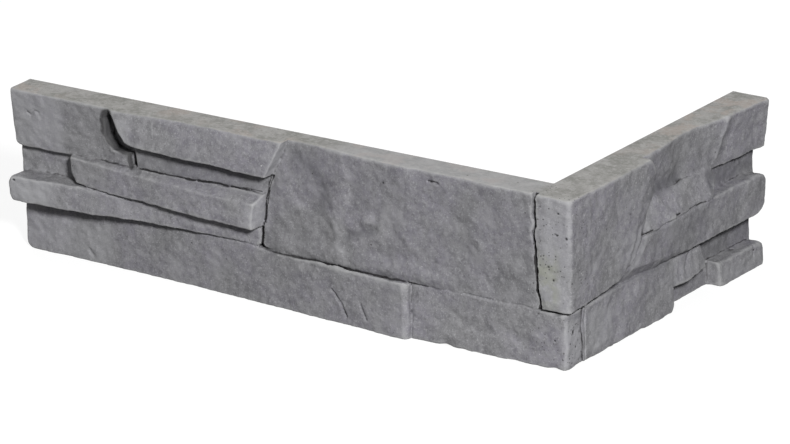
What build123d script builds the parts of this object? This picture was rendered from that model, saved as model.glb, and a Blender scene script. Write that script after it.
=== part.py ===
from build123d import *
import os

# Outside corner piece of dry-stack wall cladding, one concrete casting, in millimetres.
#
# The origin is the foot of the wall's corner, where the two flat backs meet the bed. Z is up.
# The long leg runs along -X with its back on y = 0 and its stones facing -Y.
# The short leg runs along +Y with its back on x = 0 and its stones facing +X.
# A depth is a distance out from the wall, and a place along a leg is x or y.

# Overall sizes
HEIGHT = 100
LONG_LEG = 354
SHORT_LEG = 194

# Bed joints, as heights
BASE_BED = 33
BAND_BED = BASE_BED + 24
UPPER_BED = BASE_BED + 32
RETURN_BED = BAND_BED + 16

# Joints between stones, how far a stone runs in under a prouder neighbour, and the worn edges
JOINT = 0.8
CORNER_JOINT = 2.4
TUCK = 8
LAP = 0.5
ARRIS = 1.5
FINE_ARRIS = 1.0
SOFT_ARRIS = 3.0
FOOT_ROUND = 6.0

# The core behind the stones, as depths
CORE_THIN = 4
CORE_MIDDLE = 10
CORE_THICK = 15
CORE_RETURN = 8

# Where stones end along the long leg, as x
SLAB_RIGHT = 2.5
BASE_SEAM = -81
WEDGE_LEFT = -LONG_LEG + 40.5
BROW_LEFT = -LONG_LEG + 70.5
STRIP_LEFT = -LONG_LEG + 82.5
SLAB_LEFT = -LONG_LEG + 170
BROW_RIGHT = SLAB_LEFT + 17.5

# Where stones end along the short leg, as y
BLOCK_RIGHT = 69
CHIP_RIGHT = BLOCK_RIGHT + 73
RETURN_BASE_RIGHT = 96
SPALL_RIGHT = RETURN_BASE_RIGHT + 37
FOOT_LEFT = SHORT_LEG - 49

# How far each stone stands out from the wall at its proudest
SEAM_BASE = 24.5
CORNER_BASE = 20.5
RETURN_BASE = 20
RIBBON = 24.5
END_RECESS = 10
UPPER_LEFT = 21
BROW = 24.5
STRIP = 16
WEDGE = 25
SLAB = 20
BLOCK_FACE = 24.5
BLOCK_END = 22
RETURN_TOP = 25
CHIP = 23
BAND = 22.8
SPALL = 20
FOOT = 21.5
UPPER_RECESS = 13.8
LOWER_RECESS = 11.7
FOOT_RECESS = 12

# Heights of the thin stones
RIBBON_RISE = 15.5
WEDGE_RISE = 19.5
FOOT_RISE = 14
CHIP_DIP = 0.8

LONG = Plane(origin=(0, 0, 0), x_dir=(1, 0, 0), z_dir=(0, -1, 0))
SHORT = Plane(origin=(0, 0, 0), x_dir=(0, 1, 0), z_dir=(1, 0, 0))
DOWN = Vector(0, 0, -1)

# Relief of a face that stands at one depth all along
FLAT = [(0, 1), (1, 1)]
SQUARE = [(0, 0), (0, 1), (1, 1), (1, 0)]


def over(bed):
    """The foot of a stone that lies on a bed joint."""
    return bed + JOINT / 2


def under(bed):
    """The top of a stone below a bed joint."""
    return bed - JOINT / 2


def between(start, end, share):
    """A place from start to end, at a share of the way."""
    return start + (end - start) * share


def plan(leg, box, depth, relief, z):
    """Plan section of a stone at height z, with its face line in shares of the stone's length and depth."""
    left, right = box[:2]
    points = [leg.from_local_coords((between(left, right, s), z, depth * d)) for s, d in relief]
    back_left, back_right = (leg.from_local_coords((along, z, 0)) for along in (left, right))
    front = Line(*points) if len(points) == 2 else Spline(*points)
    sides = [Line(points[-1], back_right), Line(back_right, back_left), Line(back_left, points[0])]
    return make_face([front, *sides])


def facing(face, leg):
    """How squarely a face looks out from the wall, from 1 for straight out to -1."""
    return face.normal_at().dot(leg.z_dir)


def front_arrises(solid, leg, sharp):
    """The edges round a stone's face, without the ridges inside it and those towards a sharp direction."""
    front = [face for face in solid.faces() if facing(face, leg) > 0.3]
    kept_sharp = [face for face in solid.faces() if any(face.normal_at().dot(way) > 0.6 for way in sharp)]
    edges = [edge for face in front for edge in face.edges()]
    left_out = [edge for face in kept_sharp for edge in face.edges()]
    rim = [edge for edge in edges if sum(edge.is_same(other) for other in edges) == 1]
    return [edge for edge in rim if not any(edge.is_same(other) for other in left_out)]


def rough_stone(leg, box, depth, outline, foot_relief, top_relief, facets=()):
    """A stone with sharp edges in the box of left, right, foot and top: its outline cut out of a ruled face.

    The outline is in shares of the box, and a facet is three points in shares of length, depth and height.
    """
    left, right, foot, top = box
    sections = [plan(leg, box, depth, foot_relief, foot), plan(leg, box, depth, top_relief, top)]
    body = loft(sections, ruled=True)
    corners = [(between(left, right, s), between(foot, top, t), 0) for s, t in outline]
    shape = Polyline(*(leg.from_local_coords(corner) for corner in corners), close=True)
    cutter = extrude(make_face(shape), amount=2 * depth, dir=leg.z_dir)
    body = body & cutter
    for facet in facets:
        places = [(between(left, right, s), between(foot, top, t), depth * d) for s, d, t in facet]
        a, b, c = (leg.from_local_coords(place) for place in places)
        normal = (b - a).cross(c - a)
        outward = normal if normal.dot(leg.z_dir) > 0 else -normal
        body = split(body, bisect_by=Plane(origin=a, z_dir=outward), keep=Keep.BOTTOM)
    return body.solids()[0]


def end_arris(solid, leg, side):
    """The upright front edge at the end of a stone on the given side."""
    upright = [edge for edge in solid.edges() if abs(edge.tangent_at(0.5).Z) > 0.99]
    return max(upright, key=lambda edge: edge.center().dot(leg.z_dir + side))


def worn(body, leg, arris=ARRIS, sharp=(DOWN,)):
    """A stone with worn arrises round its face, apart from its foot and other sharp sides."""
    return body.fillet(arris, front_arrises(body, leg, sharp))


def core():
    """The body behind the stones: a thin one behind the base course, and a thicker one above it."""
    base_line = [
        (-LONG_LEG, -CORE_THIN),
        (BROW_LEFT, -between(CORE_THIN, CORE_MIDDLE, 1 / 3)),
        (SLAB_LEFT, -CORE_MIDDLE),
        (BASE_SEAM, -CORE_THICK),
        (CORE_THICK, -CORE_THICK),
        (CORE_THICK, RETURN_BASE_RIGHT - TUCK),
        (CORE_RETURN, RETURN_BASE_RIGHT),
        (CORE_RETURN, SHORT_LEG),
    ]
    upper_line = [
        (-LONG_LEG, -CORE_THIN),
        (WEDGE_LEFT, -CORE_THIN),
        (WEDGE_LEFT + TUCK, -CORE_MIDDLE),
        (between(SLAB_LEFT, SLAB_RIGHT, 0.2), -CORE_MIDDLE),
        (between(SLAB_LEFT, SLAB_RIGHT, 0.5), -CORE_THICK),
        (CORE_THICK, -CORE_THICK),
        (CORE_THICK, BLOCK_RIGHT - TUCK),
        (CORE_RETURN, BLOCK_RIGHT),
        (CORE_RETURN, SHORT_LEG),
    ]
    back = [(0, SHORT_LEG), (0, 0), (-LONG_LEG, 0)]
    base = extrude(make_face(Polyline(*base_line, *back, close=True)), amount=BASE_BED)
    upper_face = make_face(Polyline(*upper_line, *back, close=True))
    return base + extrude(Pos(0, 0, BASE_BED) * upper_face, amount=HEIGHT - BASE_BED)


def base_block():
    """Long block at the foot, thin at the outer end and proud at the seam, where its end is worn round."""
    box = (-LONG_LEG, BASE_SEAM - JOINT / 2, 0, under(BASE_BED))
    relief = [(0, 0.29), (0.33, 0.43), (0.72, 0.73), (1, 1)]
    block = rough_stone(LONG, box, SEAM_BASE, SQUARE, relief, relief)
    block = block.fillet(SOFT_ARRIS, [end_arris(block, LONG, LONG.x_dir)])
    return worn(block, LONG, FINE_ARRIS)


def corner_base():
    """Block at the foot that turns the corner and shows its end on the short leg."""
    box = (BASE_SEAM + JOINT / 2, CORNER_BASE, 0, under(BASE_BED))
    block = rough_stone(LONG, box, CORNER_BASE, SQUARE, [(0, 0.96), (1, 1)], [(0, 0.94), (1, 0.99)])
    block = block.fillet(SOFT_ARRIS, [end_arris(block, LONG, LONG.x_dir)])
    return worn(block, LONG, FINE_ARRIS)


def ribbon():
    """Thin strip above the base, proud at the outer end and tapering to the slab."""
    foot = over(BASE_BED)
    box = (-LONG_LEG, SLAB_LEFT - JOINT, foot, foot + RIBBON_RISE)
    outline = [
        (0.011, 0),
        (0, 0.25),
        (0, 0.72),
        (0.012, 0.95),
        (0.28, 1),
        (0.64, 0.86),
        (1, 0.76),
        (1, 0.1),
        (0.985, 0),
    ]
    foot_relief = [(0, 0.93), (0.26, 0.87), (0.62, 0.71), (1, 0.63)]
    top_relief = [(0, 1), (0.26, 0.88), (0.62, 0.72), (1, 0.63)]
    return worn(rough_stone(LONG, box, RIBBON, outline, foot_relief, top_relief), LONG)


def end_recess():
    """Set-back stone between the ribbon and the upper stone at the outer end."""
    box = (-LONG_LEG, WEDGE_LEFT + TUCK, BASE_BED + RIBBON_RISE / 2, UPPER_BED + LAP)
    return rough_stone(LONG, box, END_RECESS, SQUARE, [(0, 0.88), (1, 0.88)], FLAT)


def wedge():
    """Proud wedge over the ribbon, with a shoulder that slopes up to the stones behind."""
    top = UPPER_BED + LAP
    box = (WEDGE_LEFT, between(SLAB_LEFT, BROW_RIGHT, 0.25), top - WEDGE_RISE, top)
    outline = [(0, 1), (0, 0.53), (0.03, 0.23), (0.12, 0.18), (0.37, 0.11), (0.95, 0), (1, 0), (1, 1)]
    relief = [(0, 0.78), (0.4, 0.92), (1, 1)]
    shoulder = [(1, 1, 0.77), (0.24, 0.86, 0.93), (1, 0.6, 1.05)]
    turned_end = [(0.974, 0.6, 0), (0.99, 0.6, 1), (0.967, 1, 0.5)]
    rough = rough_stone(LONG, box, WEDGE, outline, relief, relief, [shoulder, turned_end])
    return worn(rough, LONG, sharp=(DOWN, -DOWN))


def upper_left():
    """Stone at the outer top corner, leaning back to its foot, with an open joint beside the brow."""
    box = (-LONG_LEG, STRIP_LEFT - 2 * JOINT, UPPER_BED, HEIGHT)
    outline = [
        (0.05, 0),
        (0.015, 0.02),
        (0, 0.07),
        (0, 1),
        (0.88, 1),
        (0.81, 0.82),
        (0.81, 0.48),
        (0.87, 0.27),
        (0.98, 0.24),
        (1, 0),
    ]
    rough = rough_stone(LONG, box, UPPER_LEFT, outline, [(0, 0.74), (1, 0.76)], [(0, 0.98), (1, 1)])
    return worn(rough, LONG, FINE_ARRIS)


def strip():
    """Set-back strip under the brow."""
    box = (STRIP_LEFT, SLAB_LEFT + TUCK, UPPER_BED - LAP, between(UPPER_BED, HEIGHT, 0.45))
    outline = [(0.03, 0), (0, 1), (0.993, 1), (0.95, 0)]
    relief = [(0, 1), (1, 0.82)]
    return worn(rough_stone(LONG, box, STRIP, outline, relief, relief), LONG, FINE_ARRIS)


def brow():
    """Proudest stone at the top: its foot overhangs the strip, and its outer end is broken off askew."""
    box = (BROW_LEFT, BROW_RIGHT + LAP, between(UPPER_BED, HEIGHT, 0.37), HEIGHT)
    outline = [(0, 1), (0.025, 0.76), (0.055, 0.43), (0.085, 0.2), (0.14, 0.1), (0.915, 0), (1, 1)]
    top_relief = [(0, 0.97), (0.25, 0.86), (1, 0.88)]
    return worn(rough_stone(LONG, box, BROW, outline, [(0, 0.97), (1, 1)], top_relief), LONG)


def slab():
    """Large slab, thin beside the brow and thicker towards the corner, with a diagonal step in its face."""
    box = (SLAB_LEFT, SLAB_RIGHT, over(BASE_BED), HEIGHT)
    outline = [
        (0.01, 0),
        (0, 0.04),
        (0.016, 0.3),
        (0.027, 0.53),
        (0.043, 0.65),
        (0.1, 1),
        (0.993, 1),
        (0.984, 0.82),
        (0.995, 0.7),
        (0.986, 0.63),
        (1, 0.5),
        (1, 0),
    ]
    foot_relief = [(0, 0.8), (0.2, 0.8), (0.36, 0.93), (0.7, 0.97), (1, 1)]
    top_relief = [(0, 0.74), (0.2, 0.73), (0.35, 0.85), (0.46, 0.94), (0.72, 0.94), (0.88, 1.03), (1, 1)]
    rough = rough_stone(LONG, box, SLAB, outline, foot_relief, top_relief)
    return worn(rough, LONG, FINE_ARRIS, sharp=(DOWN, -LONG.x_dir))


def corner_block():
    """Tall block on the short leg whose end face shows on the long leg, worn round at the corner."""
    box = (-BLOCK_END, BLOCK_RIGHT, over(BASE_BED) + JOINT, HEIGHT)
    outline = [
        (0, 0),
        (0, 1),
        (0.95, 1),
        (1, 0.88),
        (1, 0.74),
        (0.955, 0.63),
        (0.88, 0.37),
        (0.83, 0.27),
        (0.79, 0.19),
        (0.65, 0.11),
        (0.56, 0.06),
        (0.2, 0.03),
    ]
    broken_corner = [(0.98, 1, 0.84), (0.66, 1, 0.165), (0.9, 0.93, 0.42)]
    block = rough_stone(SHORT, box, BLOCK_FACE, outline, FLAT, FLAT, [broken_corner])
    block = block.fillet(SOFT_ARRIS, [end_arris(block, SHORT, -SHORT.x_dir)])
    block = worn(block, SHORT, sharp=(DOWN, SHORT.x_dir))
    open_joint = Box(BLOCK_FACE, BLOCK_END, HEIGHT, align=(Align.MAX, Align.MAX, Align.MIN))
    return block - Pos(SLAB_RIGHT + CORNER_JOINT, 0, 0) * open_joint


def return_base():
    """Block at the foot of the short leg, from the corner's seam to the spall."""
    box = (JOINT / 2, RETURN_BASE_RIGHT, 0, under(BASE_BED))
    outline = [(0, 0), (0, 1), (0.73, 0.98), (0.98, 0.97), (1, 0.86), (1, 0.12), (0.975, 0)]
    rough = rough_stone(SHORT, box, RETURN_BASE, outline, [(0, 1.02), (1, 1.03)], [(0, 1), (1, 0.97)])
    return worn(rough, SHORT)


def return_top():
    """Wavy stone along the top of the short leg, proudest at the outer end."""
    box = (BLOCK_RIGHT - TUCK, SHORT_LEG, over(RETURN_BED), HEIGHT)
    foot_relief = [(0, 0.62), (0.27, 0.62), (0.46, 0.61), (0.68, 0.72), (0.83, 0.78), (1, 0.86)]
    top_relief = [(0, 0.68), (0.27, 0.67), (0.46, 0.61), (0.7, 0.85), (0.85, 0.89), (1, 1)]
    rough = rough_stone(SHORT, box, RETURN_TOP, SQUARE, foot_relief, top_relief)
    return worn(rough, SHORT, sharp=(DOWN, -SHORT.x_dir))


def chip():
    """Broken wedge under the wavy stone, sloping out to the band and running in under the corner block."""
    box = (BLOCK_RIGHT - 2 * TUCK, CHIP_RIGHT, under(BAND_BED) - CHIP_DIP, over(RETURN_BED) + LAP)
    outline = [(0, 0), (0, 1), (1, 1), (0.99, 0.5), (0.925, 0.06), (0.35, 0.06), (0.25, 0)]
    broken_left = [(0.45, 1, 0), (0.55, 0.76, 1), (0.1, 0.96, 0)]
    rough = rough_stone(SHORT, box, CHIP, outline, [(0, 1), (1, 0.97)], [(0, 0.7), (1, 0.74)], [broken_left])
    return worn(rough, SHORT, FINE_ARRIS, sharp=(DOWN, -DOWN, -SHORT.x_dir))


def upper_recess():
    """Set-back stone beside the broken wedge, open to the outer end."""
    box = (CHIP_RIGHT - TUCK, SHORT_LEG, BAND_BED - TUCK, RETURN_BED + 2 * LAP)
    return rough_stone(SHORT, box, UPPER_RECESS, SQUARE, FLAT, FLAT)


def band():
    """Long stone across the middle of the short leg, running in under the corner block."""
    box = (BLOCK_RIGHT - 6 * TUCK, SHORT_LEG, under(BASE_BED), under(BAND_BED))
    outline = [
        (0, 0),
        (0, 0.9),
        (0.6, 1),
        (0.95, 0.97),
        (0.985, 0.92),
        (1, 0.78),
        (1, 0.2),
        (0.98, 0.06),
        (0.95, 0),
    ]
    foot_relief = [(0, 0.93), (0.5, 0.96), (1, 0.98)]
    top_relief = [(0, 0.93), (0.5, 0.97), (1, 1)]
    hollow_foot = [(0.12, 0.935, 0.31), (0.52, 0.96, 0.05), (0.12, 0.75, 0)]
    rough = rough_stone(SHORT, box, BAND, outline, foot_relief, top_relief, [hollow_foot])
    return worn(rough, SHORT, sharp=(DOWN, -SHORT.x_dir))


def spall():
    """Small broken stone beside the return base, leaning out to its foot over the recess."""
    box = (RETURN_BASE_RIGHT - LAP, SPALL_RIGHT, FOOT_RISE - 2 * LAP, over(BASE_BED) + LAP)
    outline = [(0, 0.06), (0, 1), (0.93, 1), (0.95, 0.6), (1, 0.14), (0.75, 0.07), (0.35, 0)]
    rough = rough_stone(SHORT, box, SPALL, outline, FLAT, [(0, 0.8), (1, 0.76)])
    return worn(rough, SHORT, FINE_ARRIS, sharp=(DOWN, -SHORT.x_dir))


def lower_recess():
    """Set-back stone between the band and the foot, open to the outer end."""
    box = (SPALL_RIGHT - TUCK, SHORT_LEG, FOOT_RISE - TUCK, BASE_BED + TUCK)
    return rough_stone(SHORT, box, LOWER_RECESS, SQUARE, [(0, 0.95), (1, 0.95)], FLAT)


def foot_recess():
    """Set-back stone under the spall."""
    box = (RETURN_BASE_RIGHT - TUCK, FOOT_LEFT + TUCK, 0, FOOT_RISE - LAP)
    return rough_stone(SHORT, box, FOOT_RECESS, SQUARE, FLAT, FLAT)


def foot():
    """Thin stone at the foot of the outer end."""
    box = (FOOT_LEFT, SHORT_LEG, 0, FOOT_RISE)
    outline = [(0, 0), (0, 1), (0.94, 1), (0.985, 0.9), (1, 0.7), (1, 0.12), (0.96, 0)]
    return worn(rough_stone(SHORT, box, FOOT, outline, FLAT, [(0, 0.95), (1, 0.97)]), SHORT)


STONES = [
    base_block,
    corner_base,
    ribbon,
    end_recess,
    wedge,
    upper_left,
    strip,
    brow,
    slab,
    corner_block,
    return_base,
    return_top,
    chip,
    upper_recess,
    band,
    spall,
    lower_recess,
    foot_recess,
    foot,
]


def rounded_foot():
    """What the casting lacks at the foot of its outer end, outside a quarter round."""
    centre = Pos(FOOT_ROUND - LONG_LEG, 0, FOOT_ROUND)
    corner = centre * Box(FOOT_ROUND, 2 * SEAM_BASE, FOOT_ROUND, align=(Align.MAX, Align.CENTER, Align.MAX))
    return corner - centre * Rot(90, 0, 0) * Cylinder(FOOT_ROUND, 2 * SEAM_BASE)


def cladding_corner():
    """The whole casting: the core with every stone fused to it."""
    casting = core()
    for make in STONES:
        casting = casting + make()
    return casting - rounded_foot()


os.makedirs("parts", exist_ok=True)
export_step(cladding_corner().solids()[0], "parts/cladding_corner.step")
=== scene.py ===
import math
from itertools import product

import bmesh
import bpy
import numpy as np
from mathutils import Matrix, Vector


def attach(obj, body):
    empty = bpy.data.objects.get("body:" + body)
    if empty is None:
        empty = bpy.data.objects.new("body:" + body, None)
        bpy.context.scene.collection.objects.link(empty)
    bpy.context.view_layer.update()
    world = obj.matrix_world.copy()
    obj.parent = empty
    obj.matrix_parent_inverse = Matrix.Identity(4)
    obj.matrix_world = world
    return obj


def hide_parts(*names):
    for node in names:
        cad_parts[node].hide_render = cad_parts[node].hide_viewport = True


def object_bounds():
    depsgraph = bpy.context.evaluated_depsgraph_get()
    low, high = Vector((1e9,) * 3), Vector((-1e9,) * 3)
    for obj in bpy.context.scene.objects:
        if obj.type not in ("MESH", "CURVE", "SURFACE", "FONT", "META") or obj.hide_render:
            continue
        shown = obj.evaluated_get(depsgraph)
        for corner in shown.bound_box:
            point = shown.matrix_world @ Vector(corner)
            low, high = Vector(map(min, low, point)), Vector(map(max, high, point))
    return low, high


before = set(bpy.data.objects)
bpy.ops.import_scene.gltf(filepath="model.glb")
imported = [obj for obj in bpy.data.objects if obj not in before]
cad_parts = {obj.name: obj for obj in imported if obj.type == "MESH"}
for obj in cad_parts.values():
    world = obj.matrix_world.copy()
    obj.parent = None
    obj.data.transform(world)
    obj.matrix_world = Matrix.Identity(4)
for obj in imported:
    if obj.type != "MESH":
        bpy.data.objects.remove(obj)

MM = 1000
cad_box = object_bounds()

# Camera: azimuth, elevation and roll of the view in degrees, and what it is aimed at in metres
VIEW_AZIMUTH = 33.144
VIEW_ELEVATION = 19.013
VIEW_ROLL = -0.364
VIEW_DISTANCE = 3.9834
VIEW_END = 20
AIM_RIGHT = -0.0878
AIM_UP = 0.0734
SENSOR = 36.0
FOCAL_PIXELS = 7196.2
FRAME_WIDTH = 790

# Lamps: name, azimuth and elevation in degrees, distance from the aim and side in metres, watts
LAMPS = [
    ("key", 43, 28.5, 3.0, 0.35, 111),
    ("overhead", 0, 88, 2.5, 1.2, 8),
    ("fill", -35, 30, 2.5, 2.0, 6),
    ("back", 225, 22, 3.0, 1.4, 48),
]
LAMP_AIM = Vector((-0.1, 0.03, 0.05))

# Floor: half its side in metres, the grey that it is lit as, and the glow that only the camera sees
FLOOR_HALF = 6.0
FLOOR_GREY = (0.22, 0.22, 0.22, 1)
FLOOR_GLOW = 0.84

# Strength of the world as a light, and as the white that the camera sees
WORLD_LIGHT = 0.06
WORLD_WHITE = 1.0

# The casting's sizes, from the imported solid's box
LONG_LEG = round(-cad_box[0][0] * MM, 1)
SHORT_LEG = round(cad_box[1][1] * MM, 1)
HEIGHT = round(cad_box[1][2] * MM, 1)

# Places on the long leg: top of the base course, left end of the large riven stone, joint in the base course
BASE_TOP = 33.0
RIVEN_LEFT = -184.0
BASE_JOINT = -81.0

# Open joint beside the upright corner stone: its middle along the long leg, half its width, and how far out
# the mouth of its painted shade and its floor are. A box closes it behind that floor, from its foot up: the
# box's ends along the long leg, and its back, which is inside the short leg.
JOINT_MIDDLE = 3.7
JOINT_HALF = 2.0
JOINT_MOUTH = -21.5
JOINT_FLOOR = -17.0
JOINT_FOOT = 36.0
FILLER_ALONG = (0.5, 7.0)
FILLER_BACK = 2.0

# How far to both sides of the joint its straying and the ragged tearing of its edges reach, then heights and
# how far along the long leg the joint strays there
STRAY_REACH = 5.5
RAGGED_REACH = 3
JOINT_STRAY = [
    (34, 1.6), (38, 1.2), (44, -0.7), (53, -1.3), (60, -1.6), (67, -1.7), (72, -2.9),
    (78, -3.6), (82, -2.5), (86, -3.0), (90, -3.4), (96, -2.9), (100, -3.1),
]

# Mesh of the casting: size of the cells that it is remeshed in, how many triangles are kept, and the angle
# in degrees from which an edge is shown as sharp
CELL = 0.5
TRIANGLES = 190000
SHARP_ANGLE = 50

# Wander of the whole skin: wavelength, height, first of three seeds
WANDER = [(16, 0.55, 1), (5, 0.32, 6), (2.4, 0.12, 9)]

# Foot of the slab over the base course: where it starts to rise and has risen, and how far it rises
SLAB_FOOT = (-300, -280)
SLAB_RISE = 1.2

# Joint between the short leg's outer stones: its height, and how far it is lowered
OUTER_JOINT_HEIGHT = 72
OUTER_JOINT_DROP = 2.4

# Relief of the riven faces, and the fine one all over the stones: wavelength, octaves, height, seed
RIVEN = [(30, 2, 0.55, 51), (9, 3, 0.32, 61)]
FINE = (2.2, 2, 0.07, 71)

# Which way a stroke's surface looks, and which coordinate runs along it. The "end" faces are the stones'
# ends along the long leg.
LEGS = {
    "long": (np.array([0.0, -1.0, 0.0]), 0),
    "short": (np.array([1.0, 0.0, 0.0]), 1),
    "end": (np.array([1.0, 0.0, 0.0]), 1),
}

# Strokes on the stones' faces: leg, line of places along and up, half width, height out of the face
STROKES = [
    # Branching ridge and the hollows beside it on the large riven stone
    ("long", [(-134, 98), (-127, 85), (-131, 71), (-134, 56), (-130, 38)], 5.5, 0.8),
    ("long", [(-132, 55), (-123, 60), (-109, 64)], 3.2, 0.9),
    ("long", [(-130, 43), (-116, 49), (-99, 56)], 3.2, 0.9),
    ("long", [(-150, 90), (-139, 78), (-140, 66), (-141, 52)], 6.5, -0.35),
    ("long", [(-122, 76), (-118, 68), (-106, 70)], 4.0, -0.6),
    ("long", [(-124, 52), (-114, 56), (-105, 59)], 2.6, -0.7),
    ("long", [(-122, 38), (-108, 43), (-96, 46)], 3.5, -0.5),
    ("long", [(-170, 70), (-160, 62), (-152, 48)], 5.0, 0.6),
    ("long", [(-176, 52), (-168, 44), (-160, 38)], 3.5, -0.6),
    ("long", [(-74, 88), (-62, 80), (-50, 76)], 5.0, -0.6),
    ("long", [(-40, 70), (-28, 58), (-16, 52)], 6.0, 0.6),
    ("long", [(-88, 84), (-80, 70), (-84, 56)], 5.0, 0.5),
    # Feet, swollen on that stone and on the receding strip, hollow on the short leg's upper stone
    ("long", [(-170, 38.5), (-125, 38), (-60, 38.5)], 5.0, 1.8),
    ("short", [(74, 81), (88, 78), (104, 76)], 5.0, -1.4),
    ("long", [(-262, 67), (-230, 67), (-186, 67)], 2.6, 1.0),
    # Unevenness and scratches of the base course
    ("long", [(-60, 22), (-44, 16), (-30, 15)], 4.0, -0.7),
    ("long", [(-20, 16), (-8, 12), (0, 6)], 4.0, -0.7),
    ("long", [(-70, 12), (-58, 8), (-50, 3)], 3.5, 0.6),
    ("long", [(-134, 19), (-130, 15), (-127.5, 12.5), (-124, 5)], 0.8, -0.9),
    ("long", [(-113.5, 14.5), (-110, 6)], 0.8, -0.8),
    ("long", [(-308, 6.5), (-306, 4.5)], 1.5, -0.8),
    # Nicks and swellings of the upper stones
    ("long", [(-343, 87), (-341, 85.5), (-338, 88.5), (-335, 88)], 0.7, -0.7),
    ("long", [(-70, 94), (-64, 94)], 0.7, -1.2),
    ("long", [(-264, 96), (-262, 84)], 3.0, 0.5),
    ("long", [(-252, 92), (-235, 88), (-210, 87)], 4.0, -0.4),
    ("long", [(-300, 95), (-304, 84), (-312, 74)], 6.0, 0.5),
    # Facets of the short leg's stones
    ("short", [(62, 93), (52, 78), (42, 60)], 5.0, 0.7),
    ("short", [(66, 80), (57, 68), (52, 58)], 3.0, 0.7),
    ("short", [(64, 72), (52, 62), (46, 50)], 2.5, -0.6),
    ("short", [(30, 80), (22, 62), (18, 48)], 9.0, -0.5),
    ("short", [(153, 99), (149, 90), (145, 79)], 2.2, 0.9),
    ("short", [(160, 98), (158, 88), (153, 77)], 4.0, -0.5),
    ("short", [(105, 96), (112, 86), (110, 78)], 7.0, -0.6),
    ("short", [(60, 26), (50, 16), (44, 6)], 6.0, 0.6),
    ("short", [(30, 24), (36, 12), (30, 3)], 5.0, -0.6),
    ("short", [(80, 71), (86, 64), (92, 58)], 3.0, 0.7),
    ("short", [(112, 31), (109, 24), (107, 16)], 2.5, 0.4),
    ("short", [(118, 28), (111, 21)], 1.0, -0.6),
    ("short", [(183, 13), (182.5, 8)], 0.8, -0.7),
]

# Cracks between stones, as lines in space: points, half width, depth
CRACKS = [
    # Between the large riven stone and the base course
    ([(-183.8, -15.6, 33.4), (-177, -16.2, 32.9), (-168, -16.6, 32.8), (-156, -17, 32.8),
      (-136, -17.6, 32.8)], 0.8, 0.4),
    ([(-136, -17.6, 32.8), (-119, -18.6, 32.8), (-100, -19.4, 32.8), (-85, -19.5, 32.8),
      (-70, -18.4, 32.8)], 0.75, 0.4),
    # In the base course, under the upright corner stone, and beside the short leg's base stone
    ([(-80.7, -20.4, 32), (-80.7, -20.4, 16), (-80.7, -20.4, 0)], 0.5, 0.5),
    ([(7.5, -21.6, 33.2), (12, -21, 33), (18, -20.6, 33), (22, -20, 33.2)], 0.9, 0.6),
    ([(20.4, -3.2, 32), (20.5, -3.5, 22), (20.5, -2.8, 10), (20.5, -2.2, 0)], 0.5, 0.9),
    # Between the short leg's middle stones, and over its low stone
    ([(22.8, 57, 57.6), (22, 60, 57)], 1.1, 2.0),
    ([(22, 60, 57), (21.8, 64, 56.6), (22.1, 70, 56.2)], 0.5, 0.8),
    ([(21.9, 94, 58), (22, 99, 57.8)], 0.5, 0.8),
    ([(21.9, 110, 57.2), (21.8, 127, 57)], 0.4, 0.6),
    ([(13, 92, 13.4), (13, 100, 13.3), (13, 109, 13)], 0.9, 0.5),
]

# Dark lines of the narrow joints round the receding strip: places along and up at DARK_LINE_PLANE, half
# width, strength. The first two, in the wider joint at the strip's upper left, are painted shadow of the
# stone beside it; the others are dark joint lines. The colour is carried into the joints along
# DARK_LINE_COURSE, which is about the photograph's direction of view, and stops behind the stones' faces.
DARK_LINE_PLANE = -16.0
DARK_LINE_COURSE = np.array([0.54, -0.778, 0.321])
DARK_LINES = [
    ([(-289.5, 95), (-290, 92), (-290, 86), (-287.5, 80.5), (-282.5, 76.5), (-276, 74.5)], 1.8, 0.62),
    ([(-275, 74.5), (-274, 70), (-272.5, 65)], 0.9, 0.62),
    ([(-266, 65.5), (-249, 65), (-231.5, 65), (-216.5, 66), (-201, 67), (-183, 67)], 0.35, 0.8),
    ([(-176, 78), (-178, 71), (-179, 65.5), (-180, 60.5), (-180.5, 54), (-181, 49)], 0.25, 0.85),
    ([(-182.5, 46.5), (-183, 41), (-183.5, 36.5), (-182, 34)], 0.32, 1.0),
]

# Pits: place in space, radius
PITS = [
    ((20.5, -11.9, 20.9), 0.9),
    ((20.5, -5.6, 19.4), 0.6),
    ((20.5, -9.7, 11.5), 0.6),
    ((13.5, -20.3, 16.9), 0.6),
    ((13.3, 170.4, 14.0), 1.0),
    ((21.0, 183.3, 11.0), 0.6),
    ((-349.6, -24.0, 46.2), 0.8),
    ((15.7, -22.0, 78.9), 0.6),
    ((22.0, -21.9, 78.2), 0.6),
    ((16.3, -22.0, 91.7), 0.6),
    ((13.5, -22.0, 52.0), 0.7),
    ((10.5, -22.0, 60.0), 0.5),
    ((-258.0, -21.0, 80.0), 0.6),
    ((-100.0, -18.6, 88.0), 0.5),
]
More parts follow.
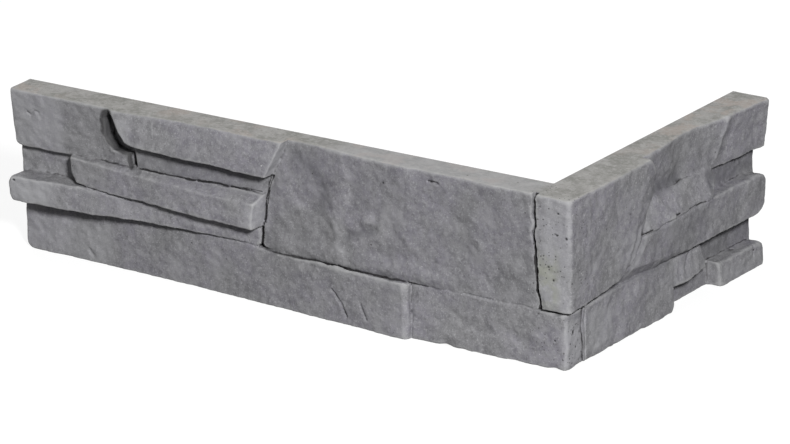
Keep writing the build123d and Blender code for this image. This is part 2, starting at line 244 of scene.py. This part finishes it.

# Lighter (above 0) and darker (below 0) places of the stones' faces: leg, along, up, strength. Most are the
# stones' own colour; some darker places are painted shade, under overhangs and on recessed stones.
AREA_TONES_AND_SHADE = [
    ("long", (-184, 2), (34, 100), -0.38),
    ("long", (-354, -318), (66, 100), 0.75),
    ("long", (-318, -290), (66, 100), 0.3),
    ("long", (-354, -325), (33, 49), 1.0),
    ("long", (-330, -250), (33, 49), 0.3),
    ("long", (-354, -310), (49, 64), 0.35),
    ("long", (-354, -290), (0, 24), 0.6),
    ("long", (-283, -268), (80, 98), 0.65),
    ("long", (-268, -170), (90, 98), 0.2),
    ("long", (-313, -185), (48, 66), 0.2),
    ("long", (-180, -166), (78, 98), 0.5),
    ("long", (-190, -181), (46, 66), 0.6),
    ("long", (-92, -82), (2, 32), 0.35),
    # Painted shade on the receding strip under the overhanging stone above it
    ("long", (-272, -184), (62, 80), -0.65),
    ("end", (-24, -10), (78, 100), 1.0),
    ("end", (-25, -14), (46, 66), 0.6),
    ("long", (6, 25), (34, 100), 0.65),
    ("long", (-80, 20), (0, 32), 0.1),
    ("short", (-20, -5), (0, 30), 0.8),
    ("short", (3, 30), (2, 28), 0.6),
    ("short", (58, 78), (58, 74), 0.4),
    ("short", (94, 110), (14, 32), 0.4),
    ("short", (112, 131), (14, 32), 0.25),
    ("short", (146, 192), (0, 13), 0.5),
    # Painted shade on the lower part of the short leg's middle course
    ("short", (60, 128), (34, 56), -0.4),
    ("short", (128, 190), (34, 56), -0.15),
    # Painted shade on the short leg's two recessed stones, upper and lower
    ("short", (134, 194), (57, 72), -0.75),
    ("short", (128, 194), (12, 32), -0.65),
    ("short", (24, 52), (44, 66), 0.4),
    ("short", (112, 150), (0, 12), -0.3),
    ("short", (34, 96), (0, 32), 0.2),
    ("short", (40, 66), (36, 60), 0.25),
    ("short", (70, 140), (75, 99), -0.25),
]

# The same along lines: leg, line of places along and up, half width, strength. Some darker lines are painted
# shade under overhanging feet and beside stone ends.
LINE_TONES_AND_SHADE = [
    ("long", [(-134, 98), (-127, 85), (-131, 71), (-134, 56), (-130, 36)], 5.0, 0.55),
    ("long", [(-132, 55), (-123, 60), (-109, 64)], 4.0, 0.5),
    ("long", [(-130, 43), (-116, 49), (-99, 56)], 4.0, 0.5),
    ("long", [(-160, 92), (-142, 80), (-140, 66)], 5.0, -0.4),
    ("long", [(-125, 51), (-114, 55), (-106, 57)], 3.0, -0.5),
    ("long", [(-165, 74), (-158, 64), (-160, 52)], 4.0, 0.3),
    ("long", [(-140, 30), (-110, 30), (-84, 30)], 2.0, 0.5),
    ("long", [(-255, 90), (-235, 86), (-215, 84)], 6.0, -0.3),
    # Painted shadow on the short leg's base stone under the feet of the stones above it
    ("short", [(24, 33), (45, 33), (70, 32), (92, 31)], 2.4, -0.9),
    ("long", [(-6, 15), (4, 13), (9, 8)], 3.0, -0.5),
    ("long", [(-66, 24), (-50, 26), (-40, 22)], 4.0, -0.35),
    # Painted shade along the foot of the short leg's upper stone
    ("short", [(62, 77), (84, 75.5), (106, 75)], 4.0, -0.9),
    ("short", [(66, 84), (72, 92)], 6.0, -0.3),
    ("long", [(-134, 19), (-130, 15), (-127.5, 12.5), (-124, 5)], 1.0, -0.6),
    ("long", [(-113.5, 14.5), (-110, 6)], 1.0, -0.6),
    ("short", [(153, 99), (149, 90), (145, 79)], 1.6, 0.5),
    ("short", [(64, 78), (57, 66), (51, 57)], 1.4, 0.4),
    ("short", [(66, 58), (58, 48), (50, 40), (42, 34)], 1.6, 0.9),
    ("short", [(118, 29), (112, 21)], 1.2, -0.5),
    ("short", [(0.6, 30), (1.2, 2)], 0.5, 1.0),
    # Painted shadow beside the end of a middle stone, on the recessed stone
    ("short", [(134, 70), (134, 57)], 2.0, -0.6),
]

# Colours of the concrete, as linear light
COOL_GREY = (0.198, 0.197, 0.204, 1)
VIOLET_GREY = (0.216, 0.209, 0.236, 1)
CLOUDING = (0.82, 0.82, 0.83, 1)
LIGHT_TONE = (0.36, 0.36, 0.375, 1)
# DARK_TONE_AND_SHADE is mixed in at the darker places, some of which are painted shade
DARK_TONE_AND_SHADE = (0.09, 0.09, 0.1, 1)
TOP_OLIVE = (0.222, 0.220, 0.204, 1)
TOP_GREY = (0.325, 0.318, 0.306, 1)
TOP_BEIGE = (0.345, 0.305, 0.276, 1)
GREENISH = (0.262, 0.27, 0.225, 1)
# Lighter colour of the edges: partly wear, partly painted highlight
WORN_AND_HIGHLIGHT = (0.36, 0.362, 0.362, 1)
# Dark of the painted shade in hollows and joints, and of cracks and pits
SHADE_AND_GRIME = (0.018, 0.017, 0.018, 1)
PORE = (0.06, 0.058, 0.06, 1)
SPECK = (0.55, 0.55, 0.55, 1)

# Mottling: wavelength, detail, roughness, noise at which it starts and at which it is full, share, colour
FACE_MOTTLES = [
    (4.2, 3, 0.65, 0.32, 0.68, 0.6, (0.275, 0.274, 0.282, 1)),
    (2.0, 3, 0.75, 0.5, 0.68, 0.55, (0.12, 0.118, 0.125, 1)),
    (1.1, 2, 0.7, 0.52, 0.72, 0.6, (0.37, 0.37, 0.38, 1)),
    (21, 3, 0.55, 0.56, 0.7, 0.45, (0.29, 0.288, 0.30, 1)),
]
TOP_MOTTLES = [
    (2.6, 4, 0.7, 0.42, 0.7, 0.55, (0.43, 0.425, 0.41, 1)),
    (1.7, 3, 0.7, 0.55, 0.72, 0.5, (0.15, 0.148, 0.14, 1)),
]

# Greenish patch on the upright corner stone's end: its middle height, and how far up and down it begins and
# is full
PATCH_HEIGHT = 52.0
PATCH_REACH = (24.0, 6.0)

# Dots: spacing, radius, share of the cells that have one, shift of the pattern in metres
END_PORES = (1.9, 0.56, 0.42, 3.1)
FEW_PORES = (6.0, 0.6, 0.12, 5.7)
SMALL_SPECKS = (7.0, 0.5, 0.12, 9.3)
LARGE_SPECKS = (26.0, 1.1, 0.14, 4.9)

ROUGHNESS = 0.92
SPECULAR = 0.25
BUMP_STRENGTH = 0.55
BUMP_DISTANCE = 0.0005


def direction_to(azimuth, elevation):
    """Direction of an azimuth and elevation in degrees. The long leg faces azimuth 0, the short one 90."""
    turn, rise = math.radians(azimuth), math.radians(elevation)
    return Vector((math.sin(turn) * math.cos(rise), -math.cos(turn) * math.cos(rise), math.sin(rise)))


def view_axes():
    """The camera's right, up and backward directions."""
    back = direction_to(VIEW_AZIMUTH, VIEW_ELEVATION)
    azimuth, roll = math.radians(VIEW_AZIMUTH), math.radians(VIEW_ROLL)
    level_right = Vector((math.cos(azimuth), math.sin(azimuth), 0))
    level_up = back.cross(level_right)
    right = level_right * math.cos(roll) + level_up * math.sin(roll)
    up = level_up * math.cos(roll) - level_right * math.sin(roll)
    return right, up, back


def add_camera():
    right, up, back = view_axes()
    place = right * AIM_RIGHT + up * AIM_UP + back * VIEW_DISTANCE
    data = bpy.data.cameras.new("camera")
    data.lens = FOCAL_PIXELS / FRAME_WIDTH * SENSOR
    data.sensor_width = SENSOR
    data.clip_end = VIEW_END
    camera = bpy.data.objects.new("camera", data)
    axes = Matrix((right, up, back)).transposed().to_4x4()
    camera.matrix_world = Matrix.Translation(place) @ axes
    bpy.context.scene.collection.objects.link(camera)
    bpy.context.scene.camera = camera


def add_lamp(name, azimuth, elevation, distance, side, watts):
    """Square lamp aimed at the object."""
    away = direction_to(azimuth, elevation)
    data = bpy.data.lights.new(name, "AREA")
    data.energy = watts
    data.size = side
    lamp = bpy.data.objects.new(name, data)
    turn = (-away).to_track_quat("-Z", "Y").to_matrix().to_4x4()
    lamp.matrix_world = Matrix.Translation(LAMP_AIM + away * distance) @ turn
    bpy.context.scene.collection.objects.link(lamp)


def add_floor():
    """Pale floor that looks white to the camera and keeps the object's shadow."""
    mesh = bpy.data.meshes.new("floor")
    corners = [(x * FLOOR_HALF, y * FLOOR_HALF, 0) for x, y in ((-1, -1), (1, -1), (1, 1), (-1, 1))]
    mesh.from_pydata(corners, [], [(0, 1, 2, 3)])
    floor = bpy.data.objects.new("floor", mesh)
    bpy.context.scene.collection.objects.link(floor)
    material = bpy.data.materials.new("pale_floor")
    material.use_nodes = True
    nodes, links = material.node_tree.nodes, material.node_tree.links
    nodes.clear()
    output = nodes.new("ShaderNodeOutputMaterial")
    add = nodes.new("ShaderNodeAddShader")
    diffuse = nodes.new("ShaderNodeBsdfDiffuse")
    diffuse.inputs["Color"].default_value = FLOOR_GREY
    glow = nodes.new("ShaderNodeEmission")
    path = nodes.new("ShaderNodeLightPath")
    scale = nodes.new("ShaderNodeMath")
    scale.operation = "MULTIPLY"
    scale.inputs[1].default_value = FLOOR_GLOW
    links.new(path.outputs["Is Camera Ray"], scale.inputs[0])
    links.new(scale.outputs[0], glow.inputs["Strength"])
    links.new(diffuse.outputs[0], add.inputs[0])
    links.new(glow.outputs[0], add.inputs[1])
    links.new(add.outputs[0], output.inputs["Surface"])
    mesh.materials.append(material)


def set_world():
    """Plain soft daylight, and white where the camera looks past the floor."""
    world = bpy.data.worlds.new("studio")
    bpy.context.scene.world = world
    world.use_nodes = True
    nodes, links = world.node_tree.nodes, world.node_tree.links
    nodes.clear()
    output = nodes.new("ShaderNodeOutputWorld")
    background = nodes.new("ShaderNodeBackground")
    path = nodes.new("ShaderNodeLightPath")
    mix = nodes.new("ShaderNodeMix")
    mix.inputs["A"].default_value = WORLD_LIGHT
    mix.inputs["B"].default_value = WORLD_WHITE
    links.new(path.outputs["Is Camera Ray"], mix.inputs["Factor"])
    links.new(mix.outputs["Result"], background.inputs["Strength"])
    links.new(background.outputs[0], output.inputs["Surface"])


def smoothstep(low, high, value):
    t = np.clip((value - low) / (high - low), 0, 1)
    return t * t * (3 - 2 * t)


def hump(value, middle, width):
    """1 at the middle, falling off smoothly to both sides."""
    return np.exp(-(((value - middle) / width) ** 2))


def noise(points, wavelength, seed):
    """Smooth gradient noise, from about -1 to 1, in cells of one wavelength."""
    kinds, past_zero, gain = 256, 1000, 1.6
    gradients = np.random.default_rng(seed).normal(size=(kinds, 3))
    gradients /= np.linalg.norm(gradients, axis=1)[:, None]
    shuffle = np.random.default_rng(seed + 1).permutation(kinds)
    cells = points / wavelength + past_zero
    corner = np.floor(cells).astype(np.int64)
    inside = cells - corner
    fade = inside**3 * (inside * (inside * 6 - 15) + 10)
    total = np.zeros(len(points))
    for step in product((0, 1), repeat=3):
        place = corner + step
        code = shuffle[place[:, 0] % kinds]
        code = shuffle[(code + place[:, 1]) % kinds]
        code = shuffle[(code + place[:, 2]) % kinds]
        weight = np.prod(np.where(np.array(step), fade, 1 - fade), axis=1)
        total += weight * np.einsum("ij,ij->i", gradients[code], inside - step)
    return total * gain


def relief(points, wavelength, octaves, height, seed):
    """Sum of noises, each at half the wavelength and half the height of the one before."""
    return sum(noise(points, wavelength / 2**i, seed + 10 * i) / 2**i for i in range(octaves)) * height


def wandering(points, waves):
    """Noise along all three axes, as a sum of waves: wavelength, height, first of three seeds."""
    return sum(
        np.stack([noise(points, wavelength, seed + axis) * height for axis in range(3)], 1)
        for wavelength, height, seed in waves
    )


def line_distance(places, line):
    """Distance of places from a line of points, in the plane or in space."""
    nearest = np.full(len(places), np.inf)
    for start, end in zip(line[:-1], line[1:]):
        start, span = np.array(start, float), np.subtract(end, start).astype(float)
        share = np.clip((places - start) @ span / max(span @ span, 1e-9), 0, 1)
        nearest = np.minimum(nearest, np.linalg.norm(places - start - share[:, None] * span, axis=1))
    return nearest


class Skin:
    """Points, edges and normals of a mesh, for working its surface."""

    def __init__(self, mesh):
        count = len(mesh.vertices)
        self.mesh = mesh
        flat = np.empty(count * 3, np.float32)
        mesh.vertices.foreach_get("co", flat)
        self.points = flat.reshape(-1, 3).astype(float) * MM
        ends = np.empty(len(mesh.edges) * 2, np.int32)
        mesh.edges.foreach_get("vertices", ends)
        self.edges = ends.reshape(-1, 2)
        self.degree = np.bincount(ends, minlength=count).astype(float)

    def store(self):
        self.mesh.vertices.foreach_set("co", (self.points / MM).astype(np.float32).ravel())
        self.mesh.update()

    def normals(self):
        self.store()
        flat = np.empty(len(self.points) * 3, np.float32)
        self.mesh.vertex_normals.foreach_get("vector", flat)
        return flat.reshape(-1, 3).astype(float)

    def spread(self, values, rounds):
        """Each value replaced by the mean of its neighbours', a number of times."""
        a, b = self.edges.T
        for _ in range(rounds):
            mixed = np.zeros_like(values)
            columns = [(values, mixed)] if values.ndim == 1 else zip(values.T, mixed.T)
            for old, new in columns:
                new += np.bincount(a, old[b], len(old)) + np.bincount(b, old[a], len(old))
            values = (mixed.T / self.degree).T
        return values

    def bulge(self, rounds, normals):
        """How far each point stands out from the mean of those round it."""
        return np.einsum("ij,ij->i", self.points - self.spread(self.points, rounds), normals)


def joint_filler():
    """Place of the box that closes the open joint behind its floor. It reaches into the wall behind."""
    low = np.array([FILLER_ALONG[0], JOINT_FLOOR, JOINT_FOOT]) / MM
    high = np.array([FILLER_ALONG[1], FILLER_BACK, HEIGHT]) / MM
    return Matrix.LocRotScale(Vector((low + high) / 2), None, Vector(high - low))


def modified(mesh, kind, **settings):
    """The mesh as one modifier leaves it."""
    holder = bpy.data.objects.new("holder", mesh)
    bpy.context.scene.collection.objects.link(holder)
    modifier = holder.modifiers.new(kind, kind)
    for name, value in settings.items():
        setattr(modifier, name, value)
    result = bpy.data.meshes.new_from_object(holder.evaluated_get(bpy.context.evaluated_depsgraph_get()))
    bpy.data.objects.remove(holder)
    return result


def remeshed(source):
    """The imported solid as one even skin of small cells."""
    mesh = source.data.copy()
    body = bmesh.new()
    body.from_mesh(mesh)
    bmesh.ops.create_cube(body, size=1, matrix=joint_filler())
    body.to_mesh(mesh)
    body.free()
    return modified(mesh, "REMESH", mode="VOXEL", voxel_size=CELL / MM)


def thinned(mesh):
    """The mesh with flat stretches merged, down to a number of triangles."""
    ratio = TRIANGLES / (2 * len(mesh.polygons))
    return modified(mesh, "DECIMATE", ratio=ratio, use_collapse_triangulate=True)


def stroke_mask(points, normals, facing, axis, line, half_width):
    """How strongly a line drawn on a leg's face acts on each point, with soft wobbling sides."""
    places = points[:, [axis, 2]]
    low, high = np.min(line, axis=0) - 3 * half_width, np.max(line, axis=0) + 3 * half_width
    close = np.flatnonzero(np.all((places > low) & (places < high), axis=1) & (normals @ facing > 0.3))
    mask = np.zeros(len(points))
    wobble = np.stack([noise(points[close], 7.0, seed) for seed in (81, 82)], 1)
    mask[close] = hump(line_distance(places[close] + 0.3 * half_width * wobble, line), 0, half_width)
    return mask


def area_mask(points, normals, facing, axis, along, up):
    """How strongly a box drawn on a leg's face acts on each point, with soft sides."""
    soft = 4
    mask = smoothstep(0.3, 0.6, normals @ facing)
    for value, (low, high) in ((points[:, axis], along), (points[:, 2], up)):
        mask *= smoothstep(low - soft, low + soft, value) * smoothstep(high + soft, high - soft, value)
    return mask


def tube_mask(points, line, half_width):
    """How strongly a wobbling line in space acts on each point."""
    line = np.array(line, float)
    reach = 3 * half_width + 0.6
    close = np.flatnonzero(np.all((points > line.min(0) - reach) & (points < line.max(0) + reach), axis=1))
    mask = np.zeros(len(points))
    wobble = wandering(points[close], [(3.0, 0.25, 81)])
    width = half_width * (1.2 + 0.4 * noise(points[close], 6.0, 84))
    mask[close] = hump(line_distance(points[close] + wobble, line), 0, width)
    return mask


def joint_shade(points):
    """Painted shade in the open joint beside the corner and beside the strip's upper left, and dark lines of
    the other narrow joints round the strip.
    """
    x, y, z = points.T
    # Painted shade on the floor of the open joint beside the corner
    dark = smoothstep(JOINT_HALF + 0.4, JOINT_HALF - 0.4, abs(x - JOINT_MIDDLE))
    dark *= smoothstep(JOINT_FLOOR + 1, JOINT_FLOOR, y) * smoothstep(JOINT_MOUTH, JOINT_MOUTH + 1.5, y)
    dark *= smoothstep(BASE_TOP - 1, BASE_TOP + 1, z) * smoothstep(HEIGHT, HEIGHT - 1, z)

    flat_points = points - np.outer(points @ DARK_LINE_COURSE, DARK_LINE_COURSE)
    # Stops behind the faces, and is weaker deep in the joints, which are in shade already
    shown = smoothstep(-8.5, -10, y) * (0.3 + 0.7 * smoothstep(-9, -12, y))
    for places, half_width, strength in DARK_LINES:
        line = np.array([(along, DARK_LINE_PLANE, up) for along, up in places])
        flat_line = line - np.outer(line @ DARK_LINE_COURSE, DARK_LINE_COURSE)
        mask = np.minimum(1, 3 * tube_mask(flat_points, flat_line, half_width))
        dark = np.maximum(dark, mask * strength * shown)
    return dark


def bend_skin(skin, free):
    """Lets the skin wander, strays and tears the open joint's line, and chips the foot at the corner."""
    x, y, z = skin.points.T
    sides = (x + LONG_LEG, SHORT_LEG - y, np.minimum(z, HEIGHT - z))
    side_free = np.stack([smoothstep(0, 3, inward) for inward in sides], axis=1)
    bend = wandering(skin.points, WANDER)

    heights, strays = zip(*JOINT_STRAY)
    torn = smoothstep(-2, -14, y) * smoothstep(BASE_TOP - 0.5, BASE_TOP + 1.5, z)
    stray = np.interp(z, heights, strays) * hump(x, JOINT_MIDDLE, STRAY_REACH) * torn
    ragged = noise(skin.points, 4.5, 31) * 0.8 + noise(skin.points, 2.2, 32) * 0.7
    bend[:, 0] += stray + hump(x, JOINT_MIDDLE, RAGGED_REACH) * torn * ragged

    along_slab = smoothstep(*SLAB_FOOT, x) * smoothstep(RIVEN_LEFT, RIVEN_LEFT - 12, x)
    bend[:, 2] += along_slab * hump(z, BASE_TOP, 4) * SLAB_RISE

    low_edge = smoothstep(5, 1, z) * smoothstep(-100, -70, x)
    skin.points[:, 2] += low_edge * free * np.clip(noise(skin.points, 9, 35) * 1.2 + 0.2, 0, 1.4)
    skin.points += bend * side_free * free[:, None]


def wear_edges(skin, free):
    """Rounds the edges that stand out, more in some places than in others."""
    soft = skin.spread(skin.points, 8)
    convex = smoothstep(0.05, 0.45, np.einsum("ij,ij->i", skin.points - soft, skin.normals()))
    chip = smoothstep(-0.1, 0.5, noise(skin.points, 7, 41)) * 0.55 + 0.35
    skin.points += (soft - skin.points) * (convex * chip * free)[:, None]


def raise_relief(skin, free, cracks):
    """Lifts the faces as riven stone is and draws the strokes and cracks. A crack is a mask and a depth."""
    x, y, z = skin.points.T
    normals = skin.normals()
    faced = smoothstep(0.35, 0.9, np.maximum(-normals[:, 1], normals[:, 0])) * free
    large_stone = smoothstep(RIVEN_LEFT - 4, RIVEN_LEFT + 4, x) * smoothstep(BASE_TOP - 3, BASE_TOP + 3, z)
    past_joint = 0.35 * smoothstep(BASE_JOINT - 3, BASE_JOINT + 3, x)
    rugged = 0.6 + 0.5 * large_stone * smoothstep(8, 0, x)
    rugged += past_joint * smoothstep(BASE_TOP + 1, BASE_TOP - 3, z) * smoothstep(24, 18, x)
    rough = sum(relief(skin.points, *wave) for wave in RIVEN)
    lift = faced * rough * rugged + (0.35 + 0.65 * faced) * relief(skin.points, *FINE) * free
    for leg, line, half_width, height in STROKES:
        lift += stroke_mask(skin.points, normals, *LEGS[leg], line, half_width) * height
    for mask, depth in cracks:
        lift -= mask * depth
    skin.points += normals * lift[:, None]
    skin.points[:, 2] = np.clip(skin.points[:, 2], 0, HEIGHT + 0.2)

    outer_stones = smoothstep(100, 150, y) * smoothstep(4, 10, x)
    skin.points[:, 2] -= OUTER_JOINT_DROP * outer_stones * hump(z, OUTER_JOINT_HEIGHT, 6)


def face_tones_and_shade(skin, normals):
    """How much lighter or darker than the rest each place of the casting is, as stone colour and as painted
    shade.
    """
    x, y, z = skin.points.T
    tone_and_shade = np.zeros(len(skin.points))
    shaken = skin.points + 2.0 * noise(skin.points, 14.0, 87)[:, None]
    sides = {"long": 1.0, "short": smoothstep(-5, 0, x), "end": smoothstep(0, -5, x)}
    for leg, along, up, strength in AREA_TONES_AND_SHADE:
        tone_and_shade += strength * sides[leg] * area_mask(shaken, normals, *LEGS[leg], along, up)
    for leg, line, half_width, strength in LINE_TONES_AND_SHADE:
        tone_and_shade += strength * sides[leg] * stroke_mask(skin.points, normals, *LEGS[leg], line, half_width)
    top = smoothstep(0.6, 0.9, normals[:, 2]) * smoothstep(HEIGHT - 3, HEIGHT - 1, z)
    return tone_and_shade + 0.7 * top * smoothstep(-170, -110, x) * smoothstep(6, -6, x)


def work_surface(skin):
    """Makes the even skin uneven as a casting from riven stone is, and returns what the material needs.

    The flat backs stay as they are: free is 0 there and 1 on the stones.
    """
    free = smoothstep(0.5, 5, np.maximum(-skin.points[:, 1], skin.points[:, 0]))
    # Painted shade of the joints, then the dark of cracks and pits
    crack = joint_shade(skin.points)
    cracks = [(tube_mask(skin.points, line, half_width), depth) for line, half_width, depth in CRACKS]
    cracks += [(tube_mask(skin.points, [place, place], radius), radius) for place, radius in PITS]
    for mask, depth in cracks:
        crack = np.maximum(crack, mask)
    bend_skin(skin, free)
    wear_edges(skin, free)
    raise_relief(skin, free, cracks)

    normals = skin.normals()
    near, wide = skin.bulge(6, normals), skin.bulge(40, normals)
    # Lighter edges that stand out: partly wear, partly painted highlight
    wear_and_highlight = smoothstep(0.03, 0.35, near) * 0.55 + smoothstep(0.06, 0.9, wide) * 0.45
    # Darkening in hollows is painted shade, partly dust; it joins the joint shade and the cracks' dark
    hollow_shade = smoothstep(0.06, 0.6, -near) * 0.6 + smoothstep(0.15, 1.4, -wide) * 0.4
    shade_and_grime = np.maximum(hollow_shade, crack)
    return {"wear_and_highlight": skin.spread(wear_and_highlight, 4), "shade_and_grime": shade_and_grime, "tone_and_shade": face_tones_and_shade(skin, normals)}


class Graph:
    """Short ways to add nodes to a material."""

    def __init__(self, material):
        material.use_nodes = True
        self.nodes, self.links = material.node_tree.nodes, material.node_tree.links
        self.shader = self.nodes["Principled BSDF"]
        self.place = self.nodes.new("ShaderNodeTexCoord").outputs["Object"]

    def put(self, socket, value):
        if isinstance(value, bpy.types.NodeSocket):
            self.links.new(value, socket)
        else:
            socket.default_value = value

    def parts(self, vector):
        """The three coordinates of a vector."""
        node = self.nodes.new("ShaderNodeSeparateXYZ")
        self.links.new(vector, node.inputs[0])
        return node.outputs

    def noise(self, wavelength, detail, roughness=0.55):
        node = self.nodes.new("ShaderNodeTexNoise")
        self.links.new(self.place, node.inputs["Vector"])
        node.inputs["Scale"].default_value = MM / wavelength
        node.inputs["Detail"].default_value = detail
        node.inputs["Roughness"].default_value = roughness
        return node.outputs["Fac"]

    def math(self, operation, *values):
        node = self.nodes.new("ShaderNodeMath")
        node.operation = operation
        for socket, value in zip(node.inputs, values):
            self.put(socket, value)
        return node.outputs[0]

    def product(self, first, *others):
        for other in others:
            first = self.math("MULTIPLY", first, other)
        return first

    def ramp(self, value, low, high, start=0.0, end=1.0):
        node = self.nodes.new("ShaderNodeMapRange")
        node.interpolation_type = "SMOOTHSTEP"
        names = ("Value", "From Min", "From Max", "To Min", "To Max")
        for name, given in zip(names, (value, low, high, start, end)):
            self.put(node.inputs[name], given)
        return node.outputs[0]

    def mix(self, share, a, b, blend="MIX"):
        node = self.nodes.new("ShaderNodeMix")
        node.data_type = "RGBA"
        node.blend_type = blend
        self.put(node.inputs["Factor"], share)
        self.put(node.inputs["A"], a)
        self.put(node.inputs["B"], b)
        return node.outputs["Result"]

    def mottled(self, colour, wavelength, detail, roughness, low, high, share, other):
        shown = self.ramp(self.noise(wavelength, detail, roughness), low, high, 0, share)
        return self.mix(shown, colour, other)

    def attribute(self, name):
        node = self.nodes.new("ShaderNodeAttribute")
        node.attribute_name = name
        return node.outputs["Fac"]

    def dots(self, spacing, radius, share, shift):
        """Round dots in a share of the cells of a grid, 1 inside a dot."""
        node = self.nodes.new("ShaderNodeTexVoronoi")
        moved = self.nodes.new("ShaderNodeVectorMath")
        moved.operation = "ADD"
        self.links.new(self.place, moved.inputs[0])
        moved.inputs[1].default_value = (shift, shift * 2, -shift)
        self.links.new(moved.outputs[0], node.inputs["Vector"])
        node.inputs["Scale"].default_value = MM / spacing
        pick = self.nodes.new("ShaderNodeSeparateColor")
        self.links.new(node.outputs["Color"], pick.inputs[0])
        size = self.math("MULTIPLY", self.ramp(pick.outputs[1], 0, 1, 0.5, 1), radius / spacing)
        inside = self.math("LESS_THAN", node.outputs["Distance"], size)
        chosen = self.math("LESS_THAN", pick.outputs[0], share)
        return self.math("MULTIPLY", inside, chosen)


def face_colour(g):
    """Mottled grey with a violet cast."""
    colour = g.mix(g.ramp(g.noise(38, 2), 0.38, 0.62), COOL_GREY, VIOLET_GREY)
    clouded = g.mix(1.0, colour, CLOUDING, "MULTIPLY")
    colour = g.mix(g.ramp(g.noise(11, 3, 0.6), 0.34, 0.66), clouded, colour)
    for mottle in FACE_MOTTLES:
        colour = g.mottled(colour, *mottle)
    return colour


def top_colour(g):
    """Olive, grey and beige of the top faces."""
    colour = g.mix(g.ramp(g.noise(12, 4, 0.65), 0.38, 0.62), TOP_OLIVE, TOP_GREY)
    beige = g.product(g.ramp(g.noise(17, 3, 0.55), 0.48, 0.58), g.ramp(g.noise(70, 1), 0.38, 0.5), 0.8)
    colour = g.mix(beige, colour, TOP_BEIGE)
    for mottle in TOP_MOTTLES:
        colour = g.mottled(colour, *mottle)
    return colour


def greenish_patch(g, x, y, z, outward):
    """Share of the greenish colour on the lower end face of the upright corner stone."""
    end_face = g.product(g.ramp(y, -0.0195, -0.021), g.ramp(x, 0.0025, 0.004), g.ramp(outward, -0.5, -0.8))
    above_base = g.ramp(z, BASE_TOP / MM, (BASE_TOP + 2) / MM)
    off_middle = g.math("ABSOLUTE", g.math("SUBTRACT", z, PATCH_HEIGHT / MM))
    middle = g.ramp(off_middle, *(reach / MM for reach in PATCH_REACH))
    inner_side = g.ramp(x, 0.02, 0.013)
    return g.product(end_face, above_base, middle, inner_side, g.ramp(g.noise(9, 3), 0.35, 0.6), 0.7)


def pore_mask(g, x, y):
    """Few pores all over, and many at the corner, most of them beside the open joint."""
    corner = g.product(g.ramp(x, -0.006, 0), g.ramp(y, 0, -0.004))
    gathered = g.math("MAXIMUM", g.ramp(g.noise(12, 2), 0.42, 0.56), g.ramp(x, 0.009, 0.005))
    many = g.product(g.dots(*END_PORES), corner, gathered)
    return g.math("MAXIMUM", many, g.dots(*FEW_PORES))


def concrete():
    """Matt cast concrete with lighter edges, partly wear and partly painted highlight, painted shade in
    hollows and joints, dark cracks, pores and specks.
    """
    material = bpy.data.materials.new("cast_concrete")
    g = Graph(material)
    x, y, z = g.parts(g.place)
    facing = g.parts(g.nodes.new("ShaderNodeNewGeometry").outputs["Normal"])
    tone_and_shade = g.attribute("tone_and_shade")

    top = g.product(g.ramp(facing[2], 0.55, 0.85), g.ramp(z, (HEIGHT - 3) / MM, (HEIGHT - 1) / MM), 0.95)
    colour = g.mix(top, face_colour(g), top_colour(g))
    # Lighter and darker places; the darker ones are partly painted shade
    colour = g.mix(g.ramp(tone_and_shade, 0, 1.2, 0, 0.75), colour, LIGHT_TONE)
    colour = g.mix(g.ramp(tone_and_shade, 0, -1.2, 0, 0.7), colour, DARK_TONE_AND_SHADE)
    colour = g.mix(greenish_patch(g, x, y, z, facing[1]), colour, GREENISH)
    # Lighter edges, partly wear and partly painted highlight
    colour = g.mix(g.ramp(g.attribute("wear_and_highlight"), 0.06, 0.7, 0, 0.5), colour, WORN_AND_HIGHLIGHT)
    # Painted shade in hollows and joints, and the dark of cracks and pits
    colour = g.mix(g.ramp(g.attribute("shade_and_grime"), 0.1, 0.8, 0, 0.95), colour, SHADE_AND_GRIME)
    pores = pore_mask(g, x, y)
    colour = g.mix(g.math("MULTIPLY", pores, 0.8), colour, PORE)
    specks = g.math("MAXIMUM", g.dots(*SMALL_SPECKS), g.dots(*LARGE_SPECKS))
    colour = g.mix(g.math("MULTIPLY", specks, 0.6), colour, SPECK)
    g.links.new(colour, g.shader.inputs["Base Color"])
    g.shader.inputs["Roughness"].default_value = ROUGHNESS
    g.shader.inputs["Specular IOR Level"].default_value = SPECULAR

    fine_grain = g.math("MULTIPLY", g.noise(0.9, 3, 0.7), 0.6)
    coarse_grain = g.math("MULTIPLY", g.noise(3.2, 3, 0.6), 0.8)
    grain = g.math("ADD", fine_grain, coarse_grain)
    bump = g.nodes.new("ShaderNodeBump")
    bump.inputs["Strength"].default_value = BUMP_STRENGTH
    bump.inputs["Distance"].default_value = BUMP_DISTANCE
    g.links.new(g.math("SUBTRACT", grain, g.math("MULTIPLY", pores, 1.5)), bump.inputs["Height"])
    g.links.new(bump.outputs[0], g.shader.inputs["Normal"])
    return material


def build_casting(node):
    """The casting with its worked surface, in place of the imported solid."""
    mesh = remeshed(node)
    skin = Skin(mesh)
    for name, values in work_surface(skin).items():
        attribute = mesh.attributes.new(name, "FLOAT", "POINT")
        attribute.data.foreach_set("value", values.astype(np.float32))
    mesh = thinned(mesh)
    mesh.name = "casting"
    mesh.shade_smooth()
    mesh.set_sharp_from_angle(angle=math.radians(SHARP_ANGLE))
    casting = bpy.data.objects.new("stone_casting", mesh)
    bpy.context.scene.collection.objects.link(casting)
    mesh.materials.clear()
    mesh.materials.append(concrete())
    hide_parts("cladding_corner")
    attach(casting, "root")


bpy.context.scene.view_settings.view_transform = "Standard"
add_camera()
add_floor()
set_world()
for lamp in LAMPS:
    add_lamp(*lamp)
build_casting(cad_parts["cladding_corner"])
